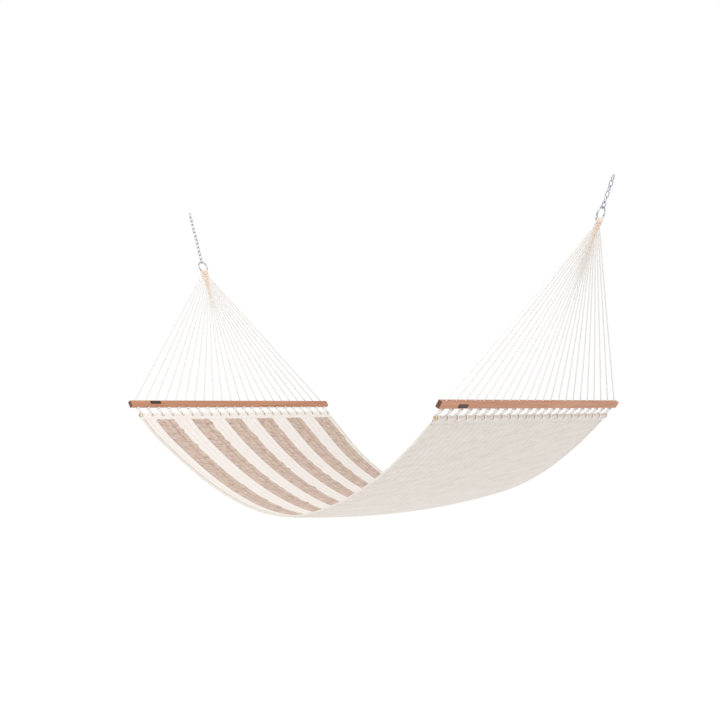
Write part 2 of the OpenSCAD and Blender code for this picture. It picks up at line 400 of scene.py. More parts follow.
def tidyNormals(made):
    work = bmesh.new()
    work.from_mesh(made.data)
    bmesh.ops.recalc_face_normals(work, faces=work.faces)
    work.to_mesh(made.data)
    work.free()
    made.data.polygons.foreach_set("use_smooth", [True] * len(made.data.polygons))


def mapByPoint(made, places, creaseShade=None):
    # the flat place of every point as its UV, and how much shade is painted into its creases there
    mesh = made.data
    corners = np.zeros(len(mesh.loops), dtype=int)
    mesh.loops.foreach_get("vertex_index", corners)
    mesh.uv_layers.new(name="cloth").data.foreach_set("uv", np.array(places)[corners].ravel())
    shade = mesh.attributes.new("creaseShade", "FLOAT", "POINT")
    if creaseShade is not None:
        shade.data.foreach_set("value", creaseShade.astype(np.float32))


# ---- geometry nodes: laid rope along paths, and stitches along seams ----
def newTree(name, sockets):
    tree = bpy.data.node_groups.new(name, "GeometryNodeTree")
    tree.interface.new_socket("Geometry", in_out="INPUT", socket_type="NodeSocketGeometry")
    for label, kind in sockets.items():
        tree.interface.new_socket(label, in_out="INPUT", socket_type="NodeSocket" + kind)
    tree.interface.new_socket("Geometry", in_out="OUTPUT", socket_type="NodeSocketGeometry")
    return tree, addNode(tree, "NodeGroupInput").outputs


def shape(tree, kind, values=None, links=None, **options):
    return addNode(tree, "GeometryNode" + kind, values, links, **options).outputs[0]


def pathLine(tree, given, spacing):
    line = shape(tree, "MeshToCurve", links={"Mesh": given["Geometry"]})
    return shape(tree, "ResampleCurve", links={"Curve": line, "Length": given[spacing]}, mode="LENGTH")


def keepValue(tree, geometry, name, value):
    return shape(
        tree, "StoreNamedAttribute", {"Name": name}, {"Geometry": geometry, "Value": value}, domain="POINT"
    )


def endTree(tree, given, geometry):
    whole = shape(tree, "RealizeInstances", links={"Geometry": geometry})
    smooth = shape(tree, "SetShadeSmooth", links={"Geometry": whole})
    done = shape(tree, "SetMaterial", links={"Geometry": smooth, "Material": given["Material"]})
    addNode(tree, "NodeGroupOutput", links={"Geometry": done})
    return tree


strands = {"count": 3, "core": 0.46, "swell": 0.11}


def ropeTree():
    # a section with one lobe per strand, turned along the path by its tilt
    tree, given = newTree("laidRope", {
        "Diameter": "Float", "Lay": "Float", "Step": "Float", "Sides": "Int", "Material": "Material",
    })
    line = pathLine(tree, given, "Step")
    run = addNode(tree, "GeometryNodeSplineParameter").outputs["Length"]
    line = keepValue(tree, line, "ropeAlong", run)
    turns = calc(tree, "MULTIPLY", calc(tree, "DIVIDE", run, given["Lay"]), 2 * math.pi)
    line = shape(tree, "SetCurveTilt", links={"Curve": line, "Tilt": turns})
    radius = calc(tree, "MULTIPLY", given["Diameter"], strands["core"])
    section = shape(tree, "CurvePrimitiveCircle", links={"Resolution": given["Sides"], "Radius": radius})
    part = calc(tree, "DIVIDE", shape(tree, "InputIndex"), given["Sides"])
    lobe = calc(tree, "COSINE", calc(tree, "MULTIPLY", part, 2 * math.pi * strands["count"]))
    section = keepValue(tree, section, "ropeAround", part)
    section = keepValue(tree, section, "ropeLobe", lobe)
    swell = calc(tree, "MULTIPLY_ADD", lobe, strands["swell"], 1.0)
    swollen = {0: shape(tree, "InputPosition"), "Scale": swell}
    moved = addNode(tree, "ShaderNodeVectorMath", links=swollen, operation="SCALE").outputs[0]
    section = shape(tree, "SetPosition", links={"Geometry": section, "Position": moved})
    thick = shape(tree, "InputNamedAttribute", {"Name": "thick"}, data_type="FLOAT")
    tube = {"Curve": line, "Profile Curve": section, "Scale": thick}
    return endTree(tree, given, shape(tree, "CurveToMesh", {"Fill Caps": True}, tube))


def stitchTree():
    # a small bead laid along the path for every stitch
    tree, given = newTree("lockStitches", {
        "Pitch": "Float", "Length": "Float", "Thread": "Float", "Material": "Material",
    })
    line = pathLine(tree, given, "Pitch")
    along = {"Vector": shape(tree, "InputTangent")}
    turned = addNode(tree, "FunctionNodeAlignRotationToVector", links=along, axis="X").outputs[0]
    half = calc(tree, "MULTIPLY", given["Length"], 0.5)
    thread = given["Thread"]
    size = addNode(tree, "ShaderNodeCombineXYZ", links={"X": half, "Y": thread, "Z": thread}).outputs[0]
    bead = shape(tree, "MeshUVSphere", {"Segments": 6, "Rings": 4, "Radius": 1.0})
    laid = shape(tree, "InstanceOnPoints", links={
        "Points": line, "Instance": bead, "Rotation": turned, "Scale": size,
    })
    return endTree(tree, given, laid)


def grow(name, paths, tree, values, thick=None, closed=False):
    # runs a node tree on polylines and keeps the result as a plain mesh
    points, edges, sizes = [], [], []
    for i, path in enumerate(paths):
        first = len(points)
        points += [tuple(p) for p in path]
        sizes += list(thick[i]) if thick else [1.0] * len(path)
        edges += [(first + j, first + j + 1) for j in range(len(path) - 1)]
        if closed:
            edges.append((first + len(path) - 1, first))
    source = newMesh(name + "Paths", points, [], edges)
    layer = source.data.attributes.new("thick", "FLOAT", "POINT")
    layer.data.foreach_set("value", sizes)
    modifier = source.modifiers.new("grow", "NODES")
    modifier.node_group = tree
    for item in tree.interface.items_tree:
        if item.in_out == "INPUT" and item.name in values:
            modifier[item.identifier] = values[item.name]
    bpy.context.view_layer.update()
    graph = bpy.context.evaluated_depsgraph_get()
    mesh = bpy.data.meshes.new_from_object(
        source.evaluated_get(graph), preserve_all_data_layers=True, depsgraph=graph
    )
    mesh.name = name
    made = newObject(name, mesh)
    source.modifiers.clear()
    bpy.data.objects.remove(source)
    return made


laidRope, lockStitches = ropeTree(), stitchTree()

# ---- the two ends: places that the bars, rings, holes and dowels give ----
holes = {"count": 22, "margin": 37 * mm, "lean": 33, "barDepth": 32 * mm}
holePitch = (barLength - 2 * holes["margin"]) / (holes["count"] - 1)
ends = {}
for end, side in (("head", -1), ("foot", 1)):
    lean = math.radians(side * holes["lean"])
    barAt, ringAt = centreOf(end + "_bar"), centreOf(end + "_ring")
    ends[end] = {
        "side": side, "lean": lean, "barAt": barAt, "ringAt": ringAt, "dowelAt": centreOf(end + "_dowel"),
        "holeUp": Vector((math.sin(lean), 0, math.cos(lean))),
        "across": Vector((math.cos(lean), 0, -math.sin(lean))),
        "down": (barAt - ringAt).normalized(),
    }


def holeY(k):
    return (k - (holes["count"] - 1) / 2) * holePitch


for end, at in ends.items():
    paint(end + "_bar", barTimber(end + "BarHardwood", at["lean"], at["barAt"]))
    paint(end + "_dowel", finishes["dowel"])
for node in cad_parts:
    if "_link_" in node or node.endswith("_ring"):
        paint(node, finishes["zinc"])

# ---- clews: rope woven together under the ring, then fanned out to the bar ----
clew = {
    "cord": 6 * mm, "tight": 0.86, "lay": 26 * mm, "ringWire": 7 * mm, "ringRadius": 28.5 * mm,
    "columns": 11, "columnPitch": 4.8 * mm, "columnTurn": 9.2, "firstRow": 48 * mm, "rowPitch": 14 * mm,
    "bodyTop": 42 * mm, "layer": 2.6 * mm, "crossing": 5 * mm, "wide": 50 * mm, "tip": 9 * mm,
    "weaveTop": 32.5 * mm, "weaveEnd": 200 * mm, "step": 3.5 * mm, "slack": 1.2 * mm, "lip": 9 * mm,
    "aboveBar": 4.1 * mm, "belowBar": 6 * mm, "flex": 45 * mm,
}


def weaveHalf(d):
    share = (d - clew["weaveTop"]) / (clew["weaveEnd"] - clew["weaveTop"])
    return (clew["wide"] + (clew["tip"] - clew["wide"]) * share) / 2


def clewPaths(at):
    # eleven ropes, each laid over the ring; both its legs run down the weave until their row comes,
    # cross the weave there, and leave it for a hole on the other side
    normal = alongBars.cross(at["down"])

    def spot(d, y, z):
        return at["ringAt"] + at["down"] * d + alongBars * y + normal * z

    woven, fanned, last = [], [], clew["columns"] - 1
    wrap = clew["ringWire"] / 2 + clew["cord"] * 0.42
    for column in range(clew["columns"]):
        fromEdge = min(column, last - column)
        angle = math.radians((column - last / 2) * clew["columnTurn"])
        wire = (clew["ringRadius"] * math.cos(angle), clew["ringRadius"] * math.sin(angle))
        y0 = (column - last / 2) * clew["columnPitch"]
        for leg in (0, 1):
            front = 1 if leg == 0 else -1
            row = min(2 * fromEdge + leg, last)
            goes = 1 if column < last / 2 else -1
            if column == last / 2:
                goes = front
            leaves = clew["firstRow"] + row * clew["rowPitch"]
            edge = goes * (weaveHalf(leaves) - clew["cord"] / 2 - 1 * mm)
            path = []
            for step in range(7):
                turn = math.pi / 2 * (1 - step / 6)
                radial, out = -math.sin(turn) * wrap, math.cos(turn) * wrap * front
                path.append(spot(wire[0] + radial * math.cos(angle), wire[1] + radial * math.sin(angle), out))
            stop = leaves - 15 * mm
            d = clew["bodyTop"] - 4 * mm
            while d < stop:
                wave = math.cos(math.pi * (d - clew["bodyTop"]) / clew["rowPitch"] + math.pi * column)
                path.append(spot(d, y0, front * clew["layer"] * (0.55 + 0.45 * wave)))
                d += clew["step"]
            over = (1 if (row + (goes > 0)) % 2 else -1) * clew["crossing"]
            begin = max(stop, 34 * mm)
            for share in (0.15, 0.35, 0.5, 0.65, 0.85):
                lift = over * math.sin(math.pi * share)
                path.append(spot(begin + (leaves - begin) * share, y0 + (edge - y0) * share, lift))
            path.append(spot(leaves, edge, 0))
            woven.append(path)
            fanned.append((holes["count"] - 1 - row if goes > 0 else row, path[-1]))
    return woven, fanned


def fanPath(at, hole, start, rng):
    # from the weave straight to its hole, round the hole's lip, and down through the bar
    centre, halfBar = at["barAt"] + alongBars * holeY(hole), holes["barDepth"] / 2
    top = centre + at["holeUp"] * (halfBar + clew["aboveBar"])
    low = centre - at["holeUp"] * (halfBar + clew["belowBar"])
    line = top - start
    sideways = line.cross(Vector(rng.normal(size=3))).normalized()
    points = [start]
    for i in range(1, 40):
        share = i / 40
        points.append(start + line * share + sideways * clew["slack"] * math.sin(math.pi * share))
    before, after = top - line.normalized() * clew["lip"], top - at["holeUp"] * clew["lip"]
    for i in range(1, 6):
        t = i / 6
        points.append(before.lerp(top, t).lerp(top.lerp(after, t), t))
    return points + [low.lerp(top, 0.5), low]


for end, at in ends.items():
    woven, fanned = clewPaths(at)
    rng = np.random.default_rng(11 if end == "head" else 12)
    ropeValues = {"Diameter": clew["cord"], "Lay": clew["lay"], "Sides": 9}
    # the weave takes the warmer rope copy, a painted warm tone of light and shade
    weaveValues = {**ropeValues, "Step": 2.6 * mm, "Material": finishes["paintedWarmRope"]}
    cordValues = {**ropeValues, "Step": 3.4 * mm, "Material": finishes["rope"]}
    weave = grow(
        end + "_clew_weave_rope", woven, laidRope, weaveValues, [[clew["tight"]] * len(p) for p in woven]
    )
    fan, sizes = [], []
    for hole, start in sorted(fanned, key=lambda item: item[0]):
        fan.append(fanPath(at, hole, start, rng))
        sizes.append([min(1.0, clew["tight"] + 0.05 * i) for i in range(len(fan[-1]))])
    cords = grow(end + "_clew_cords_rope", fan, laidRope, cordValues, sizes)
    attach(weave, end + "_sling")
    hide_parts(end + "_clew_weave")
    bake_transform(cords)
    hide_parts(end + "_clew_cords")
print("clews are woven and fanned")

# ---- lashings: a stopper knot under each hole, and a loop from it round the hem dowel ----
lashing = {
    "cord": 6 * mm, "lay": 20 * mm, "knotDown": 22.9 * mm, "knotSize": 2.6 * mm, "spread": 9.5 * mm,
    "dowel": 8 * mm, "gap": 0.4 * mm, "stray": 1.5 * mm,
}


def knotPath(centre, up, turn):
    # an overhand knot pulled tight
    side, size, points = up.cross(alongBars), lashing["knotSize"], []
    for i in range(36):
        t = 2 * math.pi * i / 36
        x = (math.sin(t + turn) + 2 * math.sin(2 * t)) * size
        y = (math.cos(t + turn) - 2 * math.cos(2 * t)) * size
        points.append(centre + alongBars * x * 0.9 + side * y + up * -math.sin(3 * t) * size * 1.15)
    return points


def loopPath(knot, dowel, rng):
    # down one side, under the dowel and up the other side
    pull = (dowel - knot).normalized()
    out = alongBars.cross(pull).normalized()
    around = lashing["dowel"] + lashing["gap"] + lashing["cord"] / 2
    lean = rng.uniform(-1, 1) * lashing["stray"]
    legs = []
    for side in (1, -1):
        leg = []
        for i in range(11):
            s = i / 10
            bow = math.sin(math.pi * min(1, s * 1.02 + 0.12)) ** 0.8 if s < 0.86 else 0.0
            turnIn = max(0.0, min(1.0, (s - 0.3) / 0.65))
            turnIn = turnIn * turnIn * (3 - 2 * turnIn)
            aside = side * lashing["spread"] * bow * (1 - turnIn * 0.8) + lean * (1 - s)
            leg.append(knot.lerp(dowel, s) + alongBars * aside + out * side * around * turnIn)
        legs.append(leg)
    turns = [math.pi * i / 12 for i in range(1, 12)]
    ring = [dowel + out * math.cos(t) * around + pull * math.sin(t) * around for t in turns]
    return legs[0] + ring + legs[1][::-1]


for end, at in ends.items():
    rng = np.random.default_rng(21 if end == "head" else 22)
    knotAt, dowelAt, knots, loops = at["barAt"] - at["holeUp"] * lashing["knotDown"], at["dowelAt"], [], []
    for y in [holeY(k) for k in range(holes["count"])]:
        knot = knotAt + alongBars * y
        knots.append(knotPath(knot, at["holeUp"], rng.uniform(0, 0.5)))
        loops.append(loopPath(knot, Vector((dowelAt.x, y, dowelAt.z)), rng))
    values = {
        "Diameter": lashing["cord"], "Lay": lashing["lay"], "Step": 2 * mm, "Sides": 9,
        "Material": finishes["rope"],
    }
    knotRope = grow(end + "_lashing_knot_rope", knots, laidRope, values, closed=True)
    loopRope = grow(end + "_lashing_loop_rope", loops, laidRope, values)
    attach(knotRope, end + "_bar")
    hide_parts(end + "_lashing_knots")
    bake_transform(loopRope)
    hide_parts(end + "_lashing_loops")
print("lashings are tied")

# ---- the bed: where its middle surface hangs ----
bed = {
    "sag": 420 * mm, "skew": 0.12, "edge": 10.5 * mm, "seamPitch": 112 / 3 * mm, "cellsPerSeam": 5,
    "rows": 240, "tuck": 30 * mm, "top": 4.8 * mm, "seamTop": 1.7 * mm, "under": 4.4 * mm,
    "seamUnder": 2.9 * mm, "belly": 34 * mm, "roll": 27 * mm, "calm": 0.3,
}
bedWide = (holes["count"] - 1) * holePitch + 2 * bed["edge"]
headDowel, footDowel = ends["head"]["dowelAt"], ends["foot"]["dowelAt"]


def bedPoint(t):
    z = headDowel.z - 4 * bed["sag"] * t * (1 - t) * (1 + bed["skew"] * (t - 0.5))
    return headDowel.x + (footDowel.x - headDowel.x) * t, z


def bedLine(count, inset):
    # evenly spaced points, unit tangents' upward normals and distances along the hanging curve
    t = np.linspace(0, 1, 4001)
    x, z = bedPoint(t)
    run = np.concatenate([[0], np.cumsum(np.hypot(np.diff(x), np.diff(z)))])
    wanted = np.linspace(inset, run[-1] - inset, count)
    px, pz, tx, tz = [
        np.interp(wanted, run, values) for values in (x, z, np.gradient(x, run), np.gradient(z, run))
    ]
    size = np.hypot(tx, tz)
    return px, pz, -tz / size, tx / size, wanted, run[-1]


def hang(v, u, total):
    # the cloth's middle hangs lower past half way, and its near edge is drawn tighter by the head
    t, s = v / total, 2 * u / bedWide - 1
    belly = bed["belly"] * np.exp(-(((t - 0.6) / 0.2) ** 2)) * (1 - s * s)
    roll = bed["roll"] * s * np.sin(math.pi * np.clip(t / 0.56, 0, 1)) ** 1.3
    calm = np.clip(np.minimum(v, total - v) / bed["calm"], 0, 1)
    return -(belly + roll) * calm * calm * (3 - 2 * calm)


def ripple(along, seed, shortest, longest, count=9):
    # a smooth random line: sines of several lengths with fixed random phases
    rng = np.random.default_rng(seed)
    total = np.zeros_like(along)
    for length, phase, weight in zip(
        rng.uniform(shortest, longest, count), rng.uniform(0, 2 * math.pi, count), rng.uniform(0.5, 1, count)
    ):
        total += weight * np.sin(2 * math.pi * along / length + phase)
    return total / math.sqrt(count) / 0.55


tape = {
    "wide": 13 * mm, "half": 3.3 * mm, "thick": 1.0 * mm, "pucker": 0.45 * mm, "flare": 0.4 * mm,
    "under": 2.3 * mm, "tuck": 33 * mm, "rows": 420,
}
seams = np.arange(-2, 34) * bed["seamPitch"] + stripes["first"]
seams = seams[(seams > 12 * mm) & (seams < bedWide - 12 * mm)]
seamEnds = np.concatenate([[0], seams, [bedWide]])

gather = {
    "tan": 0.055, "border": 0.05, "cream": 0.022, "under": 0.03, "most": 0.12, "push": 0.5,
    "rise": 0.62, "limit": 7 * mm, "steps": 8, "quickSteps": 3,
}


def stripePart(x):
    # where a place across the bed lies in its pair of stripes: tan up to one half, then cream
    return ((x - stripes["first"]) / (2 * stripes["wide"])) % 1.0


def gatheredPly(u, v, face):
    # cloth cut a little too long for its seams is held along them and left to find its own puckers
    columns, rows = len(u), len(v)
    rng = np.random.default_rng(31 if face > 0 else 32)
    uneven = rng.uniform(0, 0.6 * mm, columns * rows)
    rest = np.stack([np.repeat(u, rows), np.tile(v, columns), uneven], axis=-1)
    starts = [i * rows + j for i in range(columns - 1) for j in range(rows - 1)]
    ply = newMesh("gatheredPly", rest, [(a, a + rows, a + rows + 1, a + 1) for a in starts])
    seams = ply.vertex_groups.new(name="seams")
    spare = ply.vertex_groups.new(name="spare")
    sewn = np.isin(np.round(u, 6), np.round(seamEnds, 6))
    for i, x in enumerate(u):
        column = list(range(i * rows, (i + 1) * rows))
        seams.add(column if sewn[i] else [column[0], column[-1]], 1.0, "REPLACE")
        part = stripePart(x)
        length = gather["under"]
        if face > 0:
            length = gather["tan"] if part < 0.5 else gather["cream"]
            length += gather["border"] * math.exp(-(((part - 0.43) / 0.08) ** 2))
        spare.add(column, length / gather["most"], "REPLACE")
    cloth = ply.modifiers.new("cloth", "CLOTH")
    cloth.collision_settings.use_collision = False
    settings = cloth.settings
    settings.quality, settings.mass, settings.air_damping = 5, 0.12, 2
    settings.vertex_group_mass, settings.vertex_group_shrink = "seams", "spare"
    settings.shrink_min, settings.shrink_max = 0.0, -gather["most"]
    settings.tension_stiffness = settings.compression_stiffness = 12
    settings.shear_stiffness, settings.bending_stiffness = 4, 0.05
    settings.effector_weights.gravity = 0
    settings.use_pressure, settings.uniform_pressure_force = True, gather["push"]
    for step in range(gather["steps"]):
        bpy.context.scene.frame_set(step + 1)
    settled = ply.evaluated_get(bpy.context.evaluated_depsgraph_get())
    places = np.zeros(columns * rows * 3)
    settled.data.vertices.foreach_get("co", places)
    bpy.data.objects.remove(ply)
    bpy.context.scene.frame_set(1)
    shift = np.clip(places.reshape(-1, 3) - rest, -gather["limit"], gather["limit"])
    return shift.reshape(columns, rows, 3)


def quiltHeights(u, v, face, puckers):
    # how far one face of the quilt stands off its middle surface, and how much shade is painted into its
    # seams and creases there
    heights, creaseShade = np.zeros((len(u), len(v))), np.zeros((len(u), len(v)))
    crest, dip = (bed["top"], bed["seamTop"]) if face > 0 else (bed["under"], bed["seamUnder"])
    for column, x in enumerate(u):
        i = min(int(np.searchsorted(seamEnds, x + 1e-6, side="right")) - 1, len(seamEnds) - 2)
        left, right = seamEnds[i], seamEnds[i + 1]
        s = min(1.0, max(0.0, (x - left) / (right - left)))
        pillow = math.sin(math.pi * s) ** 0.62
        wide = (right - left) / bed["seamPitch"]
        lift = puckers[column] * gather["rise"]
        if face < 0:
            lift = lift + 1.6 * mm * ripple(v, 610, 30 * mm, 64 * mm) * math.exp(-x / (110 * mm)) * pillow
        heights[column] = np.maximum(dip + (crest - dip) * pillow * (0.75 + 0.25 * wide) + lift, 0.8 * mm)
        # painted shade: the colour darkens along each seam and in the valleys of the puckers, most on the tan
        # stripes
        seamShade = max(0.0, 1 - min(s, 1 - s) * (right - left) / (5 * mm))
        onSeam, inFold = 0.13, 0.25
        if face > 0:
            part = stripePart(x)
            onSeam = 0.34 + 0.5 * math.exp(-(((part - 1 / 3) / 0.03) ** 2)) if part < 0.52 else 0.08
            onSeam += 0.25 * math.exp(-((min(part, 1 - part) / 0.02) ** 2))
            inFold = 0.6 if part < 0.52 else 0.08
        valley = np.clip(-(puckers[column] + 0.4 * mm) / (3.5 * mm), 0, 1)
        creaseShade[column] = np.clip(onSeam * seamShade + inFold * valley, 0, 1)
    return heights, creaseShade


def quiltHalf(name, face):
    # one ply of the quilt with its share of the batting: puckered outside, smooth at the middle surface
    u = [0.0]
    for left, right in zip(seamEnds[:-1], seamEnds[1:]):
        cells = max(2, round((right - left) / bed["seamPitch"] * bed["cellsPerSeam"]))
        u += [left + (right - left) * (j + 1) / cells for j in range(cells)]
    u, tuck = np.array(u), bed["tuck"]
    px, pz, nx, nz, v, total = bedLine(bed["rows"] + 1, tuck)
    moved = gatheredPly(u, v, face)
    heights, creaseShade = quiltHeights(u, v, face, moved[:, :, 2])
    fromEnd = np.minimum(v - tuck, total - tuck - v)
    fromEdge = np.minimum(u, bedWide - u)
    thin = 0.32 + 0.68 * np.clip(fromEnd / (26 * mm), 0, 1) ** 0.5
    clear = np.clip((fromEdge - tape["wide"]) / (16 * mm), 0, 1)[:, None] ** 0.7
    heights = np.minimum(heights, tape["under"]) * (1 - clear) + heights * clear
    heights = heights * thin[None, :]
    loose = hang(v[None, :], u[:, None], total)
    grid = []
    for level, drawn in ((heights * face + loose, thin[None, :] * clear), (loose, 0.0)):
        slid = moved[:, :, 1] * drawn
        x = px[None, :] + nx[None, :] * level + nz[None, :] * slid
        z = pz[None, :] + nz[None, :] * level - nx[None, :] * slid
        y = (u - bedWide / 2)[:, None] + moved[:, :, 0] * drawn
        grid.append(np.stack([x, y, z], axis=-1).reshape(-1, 3))
    columns, rows = len(u), len(v)
    shift = columns * rows
    faces = []
    for a in [i * rows + j for i in range(columns - 1) for j in range(rows - 1)]:
        b, c, d = a + rows, a + shift, a + rows + shift
        faces.append((a, a + 1, b + 1, b) if face < 0 else (a, b, b + 1, a + 1))
        faces.append((c, d, d + 1, c + 1) if face < 0 else (c, c + 1, d + 1, d))
    rims = [(i * rows + j, rows, j > 0) for i in range(columns - 1) for j in (0, rows - 1)]
    rims += [(i * rows + j, 1, i == 0) for j in range(rows - 1) for i in (0, columns - 1)]
    for a, step, flip in rims:
        ring = (a, a + shift, a + step + shift, a + step)
        faces.append(ring if flip == (face < 0) else ring[::-1])
    made = newMesh(name, np.concatenate(grid), faces)
    made.data.polygons.foreach_set("use_smooth", [True] * len(faces))
    flat = np.stack([np.repeat(u, rows), np.tile(v, columns)], axis=-1)
    mapByPoint(made, np.concatenate([flat, flat]), np.concatenate([creaseShade.ravel(), creaseShade.ravel()]))
    return made, total


def blendBed(piece):
    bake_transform(piece)


quiltTop, bedLong = quiltHalf("quilt_top", 1)
quiltUnder = quiltHalf("quilt_backing", -1)[0]
quiltTop.data.materials.append(finishes["striped"])
quiltUnder.data.materials.append(finishes["backing"])
for piece, nodes, slotName in (
    (quiltTop, ("bed_top_panel", "bed_batting"), "striped_quilt_cloth"),
    (quiltUnder, ("bed_bottom_panel",), "backing_cloth"),
):
    blendBed(piece)
    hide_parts(*nodes)
print("quilt is laid, cloth length", round(bedLong, 3))


# ---- tape: folded over both long edges of the quilt ----
def edgeTape(name, side):
    px, pz, nx, nz, v, total = bedLine(tape["rows"], tape["tuck"])
    wide, half, lip = tape["wide"], tape["half"], tape["half"] + tape["flare"]
    turns = [math.pi * i / 12 - math.pi / 2 for i in range(13)]
    outline = [(-math.cos(t) * half * 0.9, math.sin(t) * half) for t in turns]
    outline = [(wide, -lip)] + outline + [(wide, lip)]
    for x, h in outline[::-1]:
        outline.append((max(x + tape["thick"], 0.4 * mm) if abs(x) < wide else x, h * 0.72))
    loose = hang(v, bedWide if side > 0 else 0.0, total)
    wobble = ripple(v, 40 + side, 9 * mm, 21 * mm)
    points, count = [], len(outline)
    for j in range(len(v)):
        for x, h in outline:
            level = h * (1 + 0.11 * wobble[j] * (1 - x / wide)) + loose[j]
            y = side * (bedWide / 2 - x - tape["pucker"] * wobble[j] * (x > 0.5 * wide))
            points.append((px[j] + nx[j] * level, y, pz[j] + nz[j] * level))
    faces = []
    for j in range(len(v) - 1):
        for i in range(count):
            a, b = j * count + i, j * count + (i + 1) % count
            faces.append((a, b, b + count, a + count))
    faces.append(tuple(range(count))[::-1])
    faces.append(tuple(range((len(v) - 1) * count, len(v) * count)))
    made = newMesh(name, points, faces)
    tidyNormals(made)
    mapByPoint(made, [(i % count * 1.5 * mm, v[i // count]) for i in range(len(points))])
    made.data.materials.append(finishes["tape"])
    return made


for name, side in (("near_side_binding", -1), ("far_side_binding", 1)):
    piece = edgeTape(name + "_tape", side)
    blendBed(piece)
    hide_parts(name)

# ---- hems: a sleeve over each dowel with a slot at every cord, and a flat part sewn to the quilt ----
hem = {
    "sleeve": 9.2 * mm, "flat": 36 * mm, "ply": 1.5 * mm, "thick": 1.3 * mm, "open": 36, "flatSteps": 9,
    "slot": 11 * mm, "slotReach": 15.5 * mm, "cell": 9 * mm, "wave": 0.35 * mm, "pull": 0.5 * mm,
    "belly": 0.6 * mm,
}


def hemOutline():
    # along the top of the flat part, round the dowel, and back along the underside
    sleeve, away = hem["sleeve"], math.radians(hem["open"])
    begin, rise = sleeve * math.cos(away), sleeve * math.sin(away) - hem["ply"]
    outline = []
    for i in range(hem["flatSteps"]):
        share = i / hem["flatSteps"]
        x = hem["flat"] + (begin - hem["flat"]) * share
        outline.append((x, hem["ply"] + rise * max(0, share * 2.2 - 1.2) ** 1.5))
    for i in range(19):
        a = away + (2 * math.pi - 2 * away) * i / 18
        outline.append((sleeve * math.cos(a), sleeve * math.sin(a)))
    return outline + [(x, -z) for x, z in outline[: hem["flatSteps"]][::-1]]


def hemColumns():
    # places across the bed, and which of the strips between them are slotted
    ys, slotted = [-bedWide / 2], []
    for k in range(holes["count"]):
        start, low = ys[-1], holeY(k) - hem["slot"] / 2
        cells = max(1, round((low - start) / hem["cell"]))
        ys += [start + (low - start) * (j + 1) / cells for j in range(cells)]
        ys += [holeY(k), holeY(k) + hem["slot"] / 2]
        slotted += [False] * cells + [True, True]
    return ys + [bedWide / 2], slotted + [False]


def hemSleeve(name, at):
    t = 0.0 if at["side"] < 0 else 1.0
    (x0, z0), (x1, z1) = bedPoint(t), bedPoint(t - at["side"] * 0.01)
    inward = Vector((x1 - x0, 0, z1 - z0)).normalized()
    up = Vector((-inward.z, 0, inward.x)) * (1 if inward.x > 0 else -1)
    outline = hemOutline()
    ys, slotted = hemColumns()
    runs = [0.0]
    for (xa, za), (xb, zb) in zip(outline[:-1], outline[1:]):
        runs.append(runs[-1] + math.hypot(xb - xa, zb - za))
    points, places = [], []
    for y in ys:
        k = round(y / holePitch + (holes["count"] - 1) / 2)
        toSlot = abs(y - holeY(min(max(k, 0), holes["count"] - 1))) / (holePitch / 2)
        thirds = math.sin(2 * math.pi * y / (holePitch / 3))
        for (x, z), along in zip(outline, runs):
            pull = (1 - toSlot) ** 2 * max(0.0, 1 - abs(x - 14 * mm) / (22 * mm)) * (1 if z > 0 else -1)
            wave = thirds * max(0.0, min(1.0, (x - 8 * mm) / (12 * mm)))
            belly = hem["belly"] * (toSlot - 0.5) if math.hypot(x, z) < hem["sleeve"] * 1.2 else 0.0
            radial = 1 + belly / hem["sleeve"]
            lift = z * radial + wave * hem["wave"] + pull * hem["pull"]
            place = at["dowelAt"] + inward * x * radial + up * lift
            points.append((place.x, y, place.z))
            places.append((y + bedWide / 2, along))
    faces, under, count = [], [], len(outline)
    for j in range(len(ys) - 1):
        for i in range(count - 1):
            if slotted[j] and max(outline[i][0], outline[i + 1][0]) < hem["slotReach"]:
                continue
            a = j * count + i
            faces.append((a, a + count, a + count + 1, a + 1))
            under.append(i >= (count - 1) / 2)
    made = newMesh(name, points, faces)
    tidyNormals(made)
    mapByPoint(made, places)
    for cloth in ("hem", "backing"):
        made.data.materials.append(finishes[cloth])
    made.data.polygons.foreach_set("material_index", np.array(under, dtype=np.int32))
    solid = made.modifiers.new("cloth thickness", "SOLIDIFY")
    solid.thickness, solid.offset = hem["thick"], 0
    return made


for end, at in ends.items():
    piece = hemSleeve(end + "_hem_sleeve", at)
    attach(piece, end + "_sling")
    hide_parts(end + "_hem")
print("hems and tapes are sewn")

# ---- stitches: along the tapes, and two rows across each hem ----
stitch = {
    "pitch": 7.5 * mm, "long": 5.2 * mm, "thread": 0.55 * mm, "quiltPitch": 13 * mm, "quiltLong": 7.5 * mm,
    "fromEdge": 2.5 * mm, "fromEnd": 34 * mm, "quiltFromEnd": 40 * mm, "hemRow": 20 * mm, "inFromHem": 4 * mm,
}
shortStitch = {
    "Pitch": stitch["pitch"], "Length": stitch["long"], "Thread": stitch["thread"],
    "Material": finishes["thread"],
}


def bedRow(u, lift, inset):
    px, pz, nx, nz, v, total = bedLine(240, inset)
    level = lift + hang(v, u, total)
    return [Vector(p) for p in zip(px + nx * level, np.full(len(v), u - bedWide / 2), pz + nz * level)]


rows = []
for u in (tape["wide"] - stitch["fromEdge"], bedWide - tape["wide"] + stitch["fromEdge"]):
    for face in (1, -1):
        rows.append(bedRow(u, face * (tape["half"] + 0.35 * mm), stitch["fromEnd"]))
edgeStitches = grow("binding_stitches", rows, lockStitches, shortStitch)
blendBed(edgeStitches)

rows = [bedRow(seam, bed["seamTop"] + 0.25 * mm, stitch["quiltFromEnd"]) for seam in seams]
quiltStitches = grow(
    "quilting_stitches", rows, lockStitches,
    {**shortStitch, "Pitch": stitch["quiltPitch"], "Length": stitch["quiltLong"]},
)
blendBed(quiltStitches)

